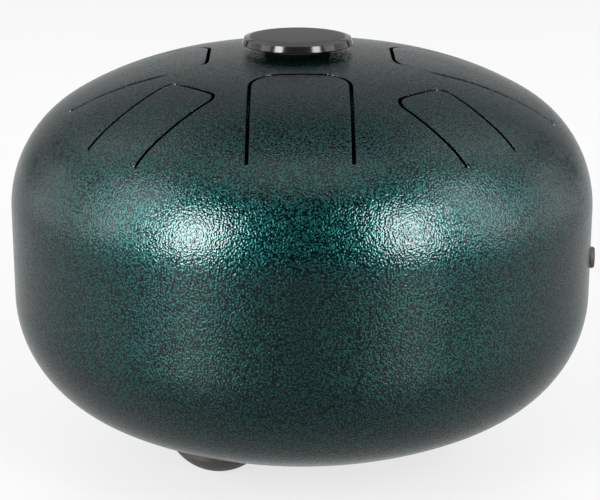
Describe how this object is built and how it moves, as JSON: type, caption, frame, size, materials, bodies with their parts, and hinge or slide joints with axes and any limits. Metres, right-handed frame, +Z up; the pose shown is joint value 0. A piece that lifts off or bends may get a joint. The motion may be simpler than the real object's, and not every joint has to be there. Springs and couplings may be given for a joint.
{
  "type": "steel tongue drum",
  "caption": "Steel tongue drum: two pressed heads joined at the rim, slotted tongues that flex when struck, a centre cap, stick-on rubber feet and a sound port underneath.",
  "frame": {"origin": "on the floor, under the drum's axis", "axes": "+Z up along the drum's axis, -Y towards the player and the picture's camera, +X to the player's right"},
  "size_m": [0.2008, 0.2, 0.1442],
  "materials": {
    "paint": "teal metallic powder coat with a fine hammered grain",
    "cap_plastic": "black, glossy flank and satin top",
    "foam": "closed-cell foam, matt",
    "rubber": "moulded rubber, matt",
    "tape": "translucent adhesive"
  },
  "bodies": {
    "drum": {"top_shell": "paint", "bottom_shell": "paint", "seam_weld": "paint", "centre_cap": "cap_plastic", "cap_pad": "foam", "foot_front_left": "rubber", "foot_front_left_tape": "tape", "foot_right": "rubber", "foot_right_tape": "tape", "foot_rear": "rubber", "foot_rear_tape": "tape", "side_bumper": "rubber", "bumper_tape": "tape"},
    "tongue_front": {"tongue_front": "paint"},
    "tongue_front_right": {"tongue_front_right": "paint"},
    "tongue_right": {"tongue_right": "paint"},
    "tongue_rear_right": {"tongue_rear_right": "paint"},
    "tongue_rear": {"tongue_rear": "paint"},
    "tongue_rear_left": {"tongue_rear_left": "paint"},
    "tongue_left": {"tongue_left": "paint"},
    "tongue_front_left": {"tongue_front_left": "paint"}
  },
  "joints": [
    {"name": "tongue_front_flex", "type": "hinge", "parent": "drum", "child": "tongue_front", "pos_m": [-0.0006, -0.0824, 0.11941], "axis": [1, 0, 0], "range_deg": [-0.3, 0.3], "stiffness_Nm_per_rad": 5.77},
    {"name": "tongue_front_right_flex", "type": "hinge", "parent": "drum", "child": "tongue_front_right", "pos_m": [0.05899, -0.06351, 0.11581], "axis": [0.7022, 0.712, 0], "range_deg": [-0.3, 0.3], "stiffness_Nm_per_rad": 1.26},
    {"name": "tongue_right_flex", "type": "hinge", "parent": "drum", "child": "tongue_right", "pos_m": [0.0843, -0.00011, 0.11794], "axis": [-0.0035, 1, 0], "range_deg": [-0.3, 0.3], "stiffness_Nm_per_rad": 9.5},
    {"name": "tongue_rear_right_flex", "type": "hinge", "parent": "drum", "child": "tongue_rear_right", "pos_m": [0.05895, 0.06276, 0.11636], "axis": [-0.6947, 0.7193, 0], "range_deg": [-0.3, 0.3], "stiffness_Nm_per_rad": 1.97},
    {"name": "tongue_rear_flex", "type": "hinge", "parent": "drum", "child": "tongue_rear", "pos_m": [0, 0.082, 0.1197], "axis": [-1, 0, 0], "range_deg": [-0.3, 0.3], "stiffness_Nm_per_rad": 4.45},
    {"name": "tongue_rear_left_flex", "type": "hinge", "parent": "drum", "child": "tongue_rear_left", "pos_m": [-0.05895, 0.06276, 0.11636], "axis": [-0.6947, -0.7193, 0], "range_deg": [-0.3, 0.3], "stiffness_Nm_per_rad": 2.49},
    {"name": "tongue_left_flex", "type": "hinge", "parent": "drum", "child": "tongue_left", "pos_m": [-0.07739, -0.00124, 0.12255], "axis": [0.007, -1, 0], "range_deg": [-0.3, 0.3], "stiffness_Nm_per_rad": 5.69},
    {"name": "tongue_front_left_flex", "type": "hinge", "parent": "drum", "child": "tongue_front_left", "pos_m": [-0.05975, -0.06298, 0.11569], "axis": [0.6896, -0.7242, 0], "range_deg": [-0.3, 0.3], "stiffness_Nm_per_rad": 1.77}
  ]
}
